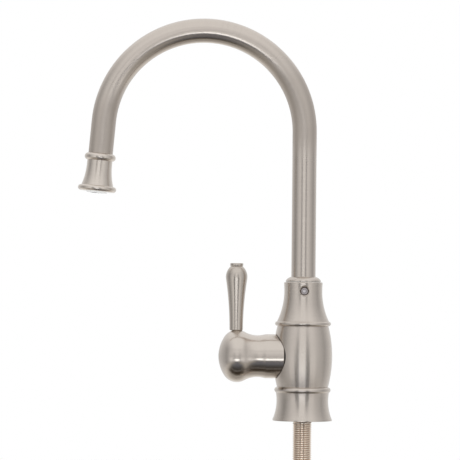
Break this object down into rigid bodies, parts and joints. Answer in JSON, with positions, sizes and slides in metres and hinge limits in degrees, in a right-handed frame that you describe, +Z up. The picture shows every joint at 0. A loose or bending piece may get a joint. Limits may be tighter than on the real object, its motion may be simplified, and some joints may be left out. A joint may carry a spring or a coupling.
{
  "type": "drinking water faucet",
  "caption": "Gooseneck drinking water faucet with a swivel spout, a flared outlet, a side lever on a quarter-turn ceramic valve and a threaded deck shank.",
  "frame": {"origin": "on the body's vertical axis, at the deck plane under the base foot", "axes": "+Z up the body and the spout's riser; at rest the spout and the handle both point to -X"},
  "size_m": [0.1506, 0.035, 0.2959],
  "materials": {
    "brushed_nickel": "satin brushed nickel",
    "valve_brass": "machined",
    "plain_steel": "machined",
    "black_rubber": "matt",
    "white_plastic": "moulded",
    "black_plastic": "moulded acetal",
    "disc_ceramic": "lapped ceramic",
    "shank_metal": "threaded, thinly plated",
    "fibre_seal": "pressed fibre"
  },
  "bodies": {
    "body": {"base_foot": "brushed_nickel", "valve_body": "brushed_nickel", "top_collar": "brushed_nickel", "cartridge_body": "valve_brass", "cartridge_nut": "valve_brass", "collar_set_screw": "plain_steel", "base_gasket": "black_rubber", "seat_seal": "black_rubber", "cartridge_o_ring": "black_rubber", "swivel_washer": "white_plastic", "fixed_ceramic_disc": "disc_ceramic", "shank": "shank_metal", "shank_seal": "fibre_seal"},
    "spout": {"spout_tube": "brushed_nickel", "spout_spigot": "brushed_nickel", "spout_o_rings": "black_rubber", "outlet_bell": "brushed_nickel", "outlet_insert": "white_plastic", "outlet_washer": "black_rubber"},
    "handle": {"handle_hub": "brushed_nickel", "lever": "brushed_nickel", "hub_bush": "black_plastic", "valve_stem": "valve_brass", "turning_ceramic_disc": "disc_ceramic", "stem_o_rings": "black_rubber", "stem_clip": "plain_steel"}
  },
  "joints": [
    {"name": "spout_swivel", "type": "hinge", "parent": "body", "child": "spout", "pos_m": [0, 0, 0.0812], "axis": [0, 0, 1], "continuous": true},
    {"name": "lever_turn", "type": "hinge", "parent": "body", "child": "handle", "pos_m": [-0.0393, 0, 0.03755], "axis": [-1, 0, 0], "range_deg": [0, 90]}
  ]
}
